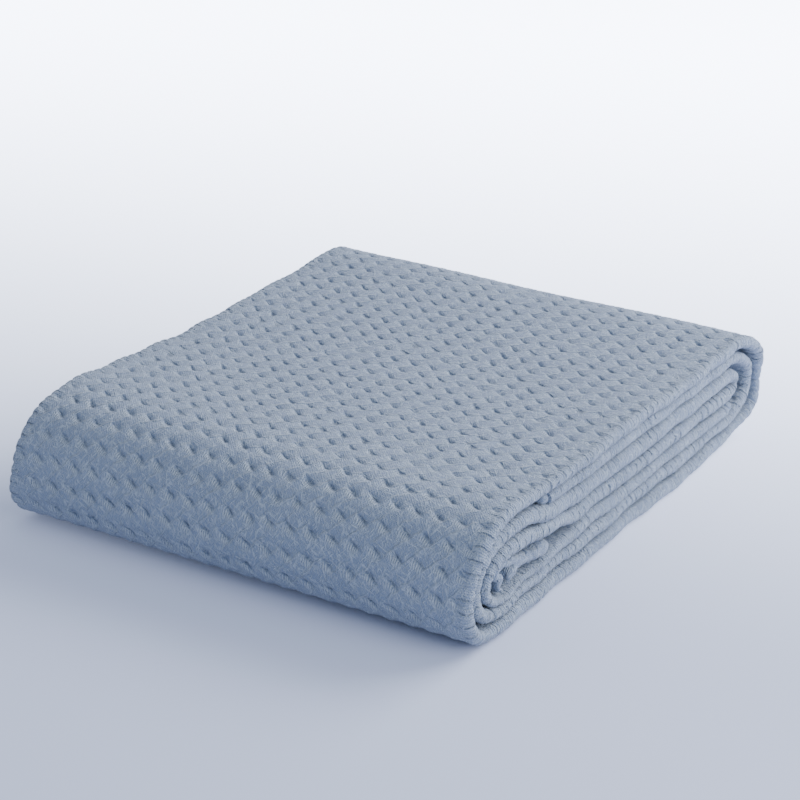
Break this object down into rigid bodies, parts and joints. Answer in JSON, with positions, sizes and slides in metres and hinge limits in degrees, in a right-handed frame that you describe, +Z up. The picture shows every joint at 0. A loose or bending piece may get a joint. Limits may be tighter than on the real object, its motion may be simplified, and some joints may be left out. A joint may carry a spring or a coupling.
{
  "type": "folded throw blanket",
  "caption": "Honeycomb-woven cotton throw, folded to a strip and rolled flat into a neat pack, with a top flap that lifts on its front crease.",
  "frame": {"origin": "under the middle of the folded pack, on the surface that it rests on", "axes": "+X towards the folded edges that show at the end face, -Y towards the front fold, +Z up"},
  "size_m": [0.32, 0.3698, 0.0704],
  "materials": {
    "honeycomb_cloth": "matt brushed cotton with a raised honeycomb weave",
    "hem_cloth": "matt cotton, turned and pressed",
    "sewing_thread": "soft satin thread"
  },
  "bodies": {
    "pack": {"front_wrap": "honeycomb_cloth", "bottom_leaf": "honeycomb_cloth", "bottom_hem": "hem_cloth", "bottom_hem_thread": "sewing_thread", "second_leaf": "honeycomb_cloth", "second_leaf_hem": "hem_cloth", "inner_back_wrap": "honeycomb_cloth", "lower_leaf": "honeycomb_cloth", "inner_front_wrap": "honeycomb_cloth", "third_leaf": "honeycomb_cloth", "back_fold": "honeycomb_cloth", "fourth_leaf": "honeycomb_cloth", "core_fold": "honeycomb_cloth", "core_leaf": "honeycomb_cloth", "core_hem": "hem_cloth"},
    "flap": {"top_flap": "honeycomb_cloth", "flap_hem": "hem_cloth", "flap_hem_thread": "sewing_thread"}
  },
  "joints": [
    {"name": "flap_lift", "type": "hinge", "parent": "pack", "child": "flap", "pos_m": [0, -0.1498, 0.0704], "axis": [1, 0, 0], "range_deg": [0, 110]}
  ]
}
